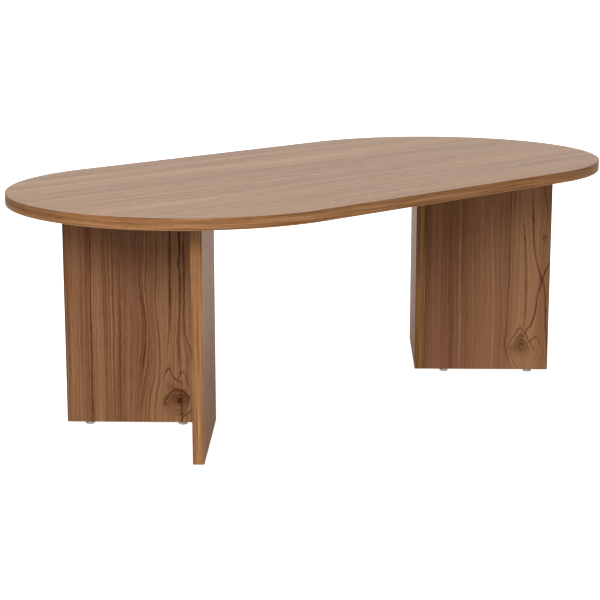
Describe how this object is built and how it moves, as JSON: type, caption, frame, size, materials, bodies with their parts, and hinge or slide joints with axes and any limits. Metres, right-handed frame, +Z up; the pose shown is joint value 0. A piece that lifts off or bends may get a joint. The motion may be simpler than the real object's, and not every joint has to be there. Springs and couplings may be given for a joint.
{
  "type": "oval coffee table",
  "caption": "Low coffee table with a long round-ended top on V-shaped board legs, all in walnut-look faced chipboard with edge bands and plastic glides.",
  "frame": {"origin": "on the floor under the middle of the top", "axes": "+X along the length of the table, +Y across it, +Z up"},
  "size_m": [1.17, 0.6, 0.4],
  "materials": {
    "top_decor": "satin walnut-look decor sheet, grain along the table",
    "leg_decor": "satin walnut-look decor sheet, grain upright",
    "edge_band": "satin wood-look plastic band, grain along the band",
    "chipboard": "raw pressed chips",
    "backing_paper": "matt balancing sheet",
    "beech": "plain beech",
    "zinc_steel": "bright zinc plate",
    "glide_plastic": "pale grey moulded plastic"
  },
  "bodies": {
    "root": {"top_core": "chipboard", "top_face_sheet": "top_decor", "top_backing_sheet": "backing_paper", "top_edge_band": "edge_band", "left_leg_through_core": "chipboard", "left_leg_through_outer_sheet": "leg_decor", "left_leg_through_inner_sheet": "leg_decor", "left_leg_through_corner_band": "edge_band", "left_leg_through_open_band": "edge_band", "left_leg_through_bracket": "zinc_steel", "left_leg_butt_core": "chipboard", "left_leg_butt_outer_sheet": "leg_decor", "left_leg_butt_inner_sheet": "leg_decor", "left_leg_butt_open_band": "edge_band", "left_leg_butt_bracket": "zinc_steel", "left_leg_corner_dowels": "beech", "left_leg_top_dowels": "beech", "left_leg_glides": "glide_plastic", "left_leg_glide_nails": "zinc_steel", "left_leg_top_screws": "zinc_steel", "left_leg_side_screws": "zinc_steel", "right_leg_through_core": "chipboard", "right_leg_through_outer_sheet": "leg_decor", "right_leg_through_inner_sheet": "leg_decor", "right_leg_through_corner_band": "edge_band", "right_leg_through_open_band": "edge_band", "right_leg_through_bracket": "zinc_steel", "right_leg_butt_core": "chipboard", "right_leg_butt_outer_sheet": "leg_decor", "right_leg_butt_inner_sheet": "leg_decor", "right_leg_butt_open_band": "edge_band", "right_leg_butt_bracket": "zinc_steel", "right_leg_corner_dowels": "beech", "right_leg_top_dowels": "beech", "right_leg_glides": "glide_plastic", "right_leg_glide_nails": "zinc_steel", "right_leg_top_screws": "zinc_steel", "right_leg_side_screws": "zinc_steel"}
  },
  "joints": []
}
